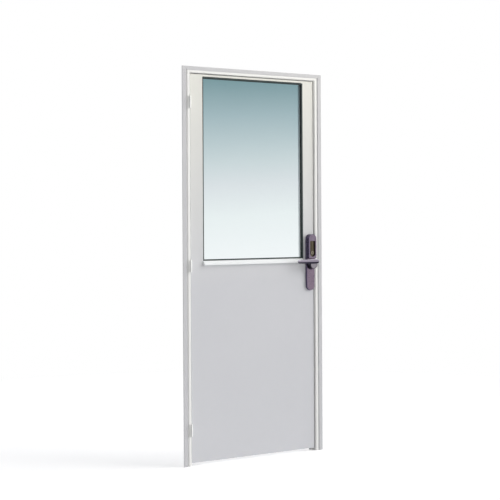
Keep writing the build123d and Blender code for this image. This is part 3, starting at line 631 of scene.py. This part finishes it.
# The room-side gasket's roll, as (past the bead's edge, proud of its seat), and where it meets the glass
BACK_ROLL = ((0.4 * MM, 1.1 * MM), (2.2 * MM, 1.7 * MM), (4.4 * MM, 0.9 * MM))
BACK_TOE = 5.8 * MM

skin_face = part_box("front_skin")[0].y
gasket_low, gasket_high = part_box("front_gasket")
back_low, back_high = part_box("back_gasket")

# The width of the gaskets that lies behind the skin and the beads
hidden = gasket_high.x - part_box("bead_lock_side")[0].x


def front_lip(form):
    """The outside gasket: it laps over the edge of the skin and slopes down to the glass."""
    seat = gasket_low.y
    glass_face = gasket_high.y

    def profile_of_side(side):
        over_glass, over_skin = GASKET_LAPS[side]
        outer = hidden - over_skin
        inner = hidden + over_glass
        return (
            (0.0, seat),
            (hidden, seat),
            (hidden, skin_face),
            (outer, skin_face),
            (outer + RIM_LEAN, skin_face - RIM_RISE),
            (outer + FLAT_INSET, skin_face - FLAT_RISE),
            (hidden + FLAT_PAST_SKIN, skin_face - FLAT_RISE),
            (hidden + SLOPE_SHARE * (inner - hidden), skin_face - SLOPE_RISE),
            (inner - TOE_WIDTH, glass_face - TOE_RISE),
            (inner, glass_face),
            (0.0, glass_face),
        )

    sweep_round_opening(form, (gasket_low, gasket_high), profile_of_side)


def back_lip(form):
    """The room-side gasket: a soft roll between the beads and the glass."""
    seat = back_high.y
    glass_face = back_low.y
    roll = [(hidden + past, seat + proud) for past, proud in BACK_ROLL]
    profile = [(0.0, seat), (hidden, seat), *roll, (hidden + BACK_TOE, glass_face), (0.0, glass_face)]
    sweep_round_opening(form, (back_low, back_high), lambda side: profile)


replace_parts(new_piece("front_gasket_lip", front_lip, gasket_rubber, "leaf"), "front_gasket")
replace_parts(new_piece("back_gasket_lip", back_lip, gasket_rubber, "leaf"), "back_gasket")


# A weather seal's section, as shares of half its width and of how far it stands off the stop
FOOT_STAND = 0.22
NECK_STAND = 0.3
NECK_WIDTH = 0.55
BULB_WIDTH = 0.62
BULB_STAND = 0.62
BULB_RISE = 0.38

# The bulb's arc, in degrees
BULB_START = 200.0
BULB_STEP = 27.5
BULB_POINTS = 9


def seal_profile(low, high, width):
    """A weather seal's section: a flat foot on the stop and a round bulb towards the leaf."""
    foot = high.y
    stand = foot - low.y
    half_width = width / 2
    points = [
        (-half_width, foot),
        (-half_width, foot - FOOT_STAND * stand),
        (-NECK_WIDTH * half_width, foot - NECK_STAND * stand),
    ]
    for step in range(BULB_POINTS):
        angle = math.radians(BULB_START - BULB_STEP * step)
        across = BULB_WIDTH * half_width * math.cos(angle)
        points.append((across, foot - BULB_STAND * stand - BULB_RISE * stand * math.sin(angle)))
    points += [
        (NECK_WIDTH * half_width, foot - NECK_STAND * stand),
        (half_width, foot - FOOT_STAND * stand),
        (half_width, foot),
    ]
    return points


def dress_seal(node):
    """A seal node's bulb, drawn along its longest side."""
    low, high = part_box(node)
    middle = (low + high) / 2
    upright = high.z - low.z > high.x - low.x
    if upright:
        start, end, across = Vector((middle.x, 0, low.z)), Vector((middle.x, 0, high.z)), Vector((1, 0, 0))
        width = high.x - low.x
    else:
        start, end, across = Vector((low.x, 0, middle.z)), Vector((high.x, 0, middle.z)), Vector((0, 0, 1))
        width = high.z - low.z
    profile = seal_profile(low, high, width)
    piece = new_piece(f"{node}_bulb", lambda form: draw_strip(form, profile, start, end, across),
                      seal_rubber, "frame")
    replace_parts(piece, node)


for seal_node in ("seal_hinge_side", "seal_lock_side", "seal_head"):
    dress_seal(seal_node)


# Screws: the radius of the head and of the shank, and how far a head rises where it is sunk or domed
HINGE_SCREW = (2.15 * MM, 1.6 * MM)
PLATE_SCREW = (3.55 * MM, 1.9 * MM)
FLUSH_RISE = 0.05 * MM
DOME_RISE = 1.4 * MM
DOME_SHANK = MM
SCREWS_APART = 5 * MM

# A screw's cross recess and head, as shares of the head's radius; CROWN_RISE is a share of the head's rise
CROSS_ARMS = 4
CROSS_WIDTH = 0.17
CROSS_MIDDLE = 0.4
CROSS_REACH = 0.62
CROSS_TAPER = 0.72
CROSS_DEPTH = 0.45
CONE_DEPTH = 0.6
CROWN_WIDTH = 0.86
CROWN_RISE = 0.65


def screw_places(node):
    """The boxes of the separate screws in a node, from its lowest to its highest."""
    corners = sorted((vertex.co.copy() for vertex in nodes[node].data.vertices), key=lambda c: c.z)
    groups = [[corners[0]]]
    for corner in corners[1:]:
        if corner.z - groups[-1][-1].z > SCREWS_APART:
            groups.append([])
        groups[-1].append(corner)
    boxes = []
    for group in groups:
        low = Vector(min(c[i] for c in group) for i in range(3))
        high = Vector(max(c[i] for c in group) for i in range(3))
        boxes.append((low, high))
    return boxes


def cross_points():
    """The outline of a cross recess, starting on the +u side."""
    arm = (
        (CROSS_REACH, 0.0),
        (CROSS_REACH, CROSS_WIDTH),
        (CROSS_MIDDLE, CROSS_WIDTH),
        (CROSS_WIDTH, CROSS_WIDTH),
        (CROSS_WIDTH, CROSS_MIDDLE),
        (CROSS_WIDTH, CROSS_REACH),
    )
    points = []
    for turned in range(CROSS_ARMS):
        angle = 2 * math.pi * turned / CROSS_ARMS
        cosine = round(math.cos(angle))
        sine = round(math.sin(angle))
        points += [(u * cosine - v * sine, u * sine + v * cosine) for u, v in arm]
    return points


def add_screw(form, face, outward, radius, rise, shank_radius, length):
    """A screw with a raised head and a tapering cross recess, its head's rim on the given point."""
    across = outward.orthogonal().normalized()
    other = outward.cross(across)

    def ring(points, scale, height):
        centre = face + outward * height
        return [form.verts.new(centre + scale * (across * u + other * v)) for u, v in points]

    cross = cross_points()
    steps = len(cross)
    angles = [2 * math.pi * step / steps for step in range(steps)]
    rim = [(math.cos(angle), math.sin(angle)) for angle in angles]
    rings = [
        ring(rim, shank_radius, -length),
        ring(rim, shank_radius, -radius * CONE_DEPTH),
        ring(rim, radius, 0.0),
        ring(rim, radius * CROWN_WIDTH, rise * CROWN_RISE),
        ring(cross, radius, rise),
        ring(cross, radius * CROSS_TAPER, rise - radius * CROSS_DEPTH),
    ]
    form.faces.new(rings[0][::-1])
    for below, above in zip(rings, rings[1:]):
        for step in range(steps):
            after = (step + 1) % steps
            form.faces.new((below[step], below[after], above[after], above[step]))
    form.faces.new(rings[-1])


def dress_screws(node, body, outward, screw, domed=False):
    """Screws with recessed heads in place of a node of plain ones, sunk flush or standing on their plate."""
    radius, shank_radius = screw

    def maker(form):
        for low, high in screw_places(node):
            reach = abs((high - low).dot(outward))
            face = (low + high) / 2 + outward * (reach / 2)
            if domed:
                face -= outward * reach
                add_screw(form, face, outward, radius, DOME_RISE, shank_radius, DOME_SHANK)
            else:
                add_screw(form, face, outward, radius, FLUSH_RISE, shank_radius, reach)

    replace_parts(new_piece(f"{node}_recessed", maker, steel, body), node)


to_lock_side = Vector((1, 0, 0))
to_room = Vector((0, 1, 0))
dress_screws("hinge_frame_screws", "frame", to_lock_side, HINGE_SCREW)
dress_screws("hinge_leaf_screws", "leaf", -to_lock_side, HINGE_SCREW)
dress_screws("strike_screws", "frame", -to_lock_side, PLATE_SCREW)
dress_screws("face_plate_screws", "leaf", to_lock_side, PLATE_SCREW)
dress_screws("inside_plate_screws", "leaf", to_room, PLATE_SCREW, domed=True)

# Studio: a floor that is near white close to the door and white further out, under the lamps' light
FLOOR_SIZE = 30.0
FLOOR_TONE = (0.80, 0.80, 0.80)
FLOOR_SHADE = (0.78, 0.78, 0.785)
FLOOR_ROUGHNESS = 0.9
FLOOR_SPECULAR = 0.1
FLOOR_LIFT = 0.42
WHITE_NEAR = 1.6
WHITE_FAR = 4.0
WHITE = (1.0, 1.0, 1.0)
ROOM_LIGHT = (0.955, 0.965, 1.0)
ROOM_STRENGTH = 0.36


def seen_directly(tree):
    """1 for what the camera, a mirror or the glass sees, and 0 for light that falls on things."""
    path = new_node(tree, "ShaderNodeLightPath")
    seen = maths(tree, "MAXIMUM", path.outputs["Is Camera Ray"], path.outputs["Is Glossy Ray"])
    return maths(tree, "MAXIMUM", seen, path.outputs["Is Transmission Ray"])


def glow(tree, kind, colour, strength):
    """An emission or background of one colour."""
    made = new_node(tree, kind)
    made.inputs["Color"].default_value = (*colour, 1.0)
    made.inputs["Strength"].default_value = strength
    return made.outputs[0]


def either(tree, factor, first, second):
    """Two shaders mixed by a factor."""
    made = new_node(tree, "ShaderNodeMixShader")
    tree.links.new(factor, made.inputs["Fac"])
    tree.links.new(first, made.inputs[1])
    tree.links.new(second, made.inputs[2])
    return made.outputs[0]


def floor_material():
    """Pale floor: shadows show on it near the door, and further out it is as white as the backdrop."""
    material, tree, shader = new_material("floor_pale")
    place = surface_place(tree)
    mottle = remap(tree, noise(tree, place, scale=3.0), low=0.3, high=0.7)
    tree.links.new(blend_colours(tree, mottle, FLOOR_TONE, FLOOR_SHADE), shader.inputs["Base Color"])
    shader.inputs["Roughness"].default_value = FLOOR_ROUGHNESS
    shader.inputs["Specular IOR Level"].default_value = FLOOR_SPECULAR
    lifted = new_node(tree, "ShaderNodeAddShader")
    tree.links.new(shader.outputs[0], lifted.inputs[0])
    tree.links.new(glow(tree, "ShaderNodeEmission", WHITE, FLOOR_LIFT), lifted.inputs[1])
    distance = new_node(tree, "ShaderNodeVectorMath", operation="LENGTH")
    tree.links.new(place, distance.inputs[0])
    far = remap(tree, distance.outputs["Value"], WHITE_NEAR, WHITE_FAR)
    seen = either(tree, far, lifted.outputs[0], glow(tree, "ShaderNodeEmission", WHITE, 1.0))
    output = [n for n in tree.nodes if n.type == "OUTPUT_MATERIAL"][0]
    tree.links.new(either(tree, seen_directly(tree), shader.outputs[0], seen), output.inputs["Surface"])
    return material


half = FLOOR_SIZE / 2
floor_mesh = bpy.data.meshes.new("floor")
floor_corners = [(-half, -half, 0), (half, -half, 0), (half, half, 0), (-half, half, 0)]
floor_mesh.from_pydata(floor_corners, [], [(0, 1, 2, 3)])
floor_mesh.materials.append(floor_material())
floor = place_in_scene(bpy.data.objects.new("floor", floor_mesh))


def soft_lamp(name, place, target, size, power, colour):
    """A square soft lamp aimed at a point, unseen by the camera."""
    light = bpy.data.lights.new(name, "AREA")
    light.shape = "SQUARE"
    light.size = size
    light.energy = power
    light.color = colour
    lamp = place_in_scene(bpy.data.objects.new(name, light))
    lamp.location = place
    lamp.rotation_euler = (Vector(target) - Vector(place)).to_track_quat("-Z", "Y").to_euler()
    lamp.visible_camera = False


def distant_lamp(name, towards, spread, power, colour, shadows):
    """A far lamp with soft-edged shadows or none, itself unseen in glass and metal."""
    light = bpy.data.lights.new(name, "SUN")
    light.angle = math.radians(spread)
    light.energy = power
    light.color = colour
    light.use_shadow = shadows
    lamp = place_in_scene(bpy.data.objects.new(name, light))
    lamp.rotation_euler = Vector(towards).to_track_quat("Z", "Y").to_euler()
    lamp.visible_transmission = False
    lamp.visible_glossy = False


# The sides that the distant lamps shine from, and the lamps' colours
FRONT_RIGHT = (4.6, -2.5, 1.9)
FROM_ROOM = (0.8, 4.0, 0.8)
NEAR_WHITE = (1.0, 0.995, 1.0)
WARM = (1.0, 0.93, 0.76)

distant_lamp("key_lamp", FRONT_RIGHT, spread=50.0, power=2.2, colour=NEAR_WHITE, shadows=True)
distant_lamp("front_fill", FRONT_RIGHT, spread=50.0, power=1.0, colour=NEAR_WHITE, shadows=False)
distant_lamp("room_fill", FROM_ROOM, spread=60.0, power=1.4, colour=WHITE, shadows=False)
soft_lamp("warm_lamp", place=(0.9, -1.4, 2.7), target=(0.1, 0.0, 2.3), size=0.8, power=6.0, colour=WARM)

world = bpy.data.worlds.new("studio")
bpy.context.scene.world = world
world.use_nodes = True
sky = world.node_tree
sky.nodes.clear()
room_light = glow(sky, "ShaderNodeBackground", ROOM_LIGHT, ROOM_STRENGTH)
backdrop = glow(sky, "ShaderNodeBackground", WHITE, 1.0)
sky_output = new_node(sky, "ShaderNodeOutputWorld")
sky.links.new(either(sky, seen_directly(sky), room_light, backdrop), sky_output.inputs["Surface"])

# Camera, solved from the frame's edges in the photograph: nearly level, with its picture shifted
CAMERA_PLACE = Vector((-3.81077, -5.76650, 1.29789))
CAMERA_YAW = 0.5823172
CAMERA_ROLL = -0.0054970
CAMERA_LENS = 91.611
CAMERA_SHIFT = -0.062708
SENSOR = 36.0

camera_data = bpy.data.cameras.new("camera")
camera_data.lens = CAMERA_LENS
camera_data.sensor_width = SENSOR
camera_data.shift_y = CAMERA_SHIFT
camera = place_in_scene(bpy.data.objects.new("camera", camera_data))
ahead = Vector((math.sin(CAMERA_YAW), math.cos(CAMERA_YAW), 0.0))
level_right = Vector((math.cos(CAMERA_YAW), -math.sin(CAMERA_YAW), 0.0))
level_up = Vector((0.0, 0.0, 1.0))
right = math.cos(CAMERA_ROLL) * level_right + math.sin(CAMERA_ROLL) * level_up
up = math.cos(CAMERA_ROLL) * level_up - math.sin(CAMERA_ROLL) * level_right
turn = Matrix((right, up, -ahead)).transposed().to_4x4()
camera.matrix_world = Matrix.Translation(CAMERA_PLACE) @ turn
bpy.context.scene.camera = camera

bpy.context.scene.view_settings.view_transform = "Standard"
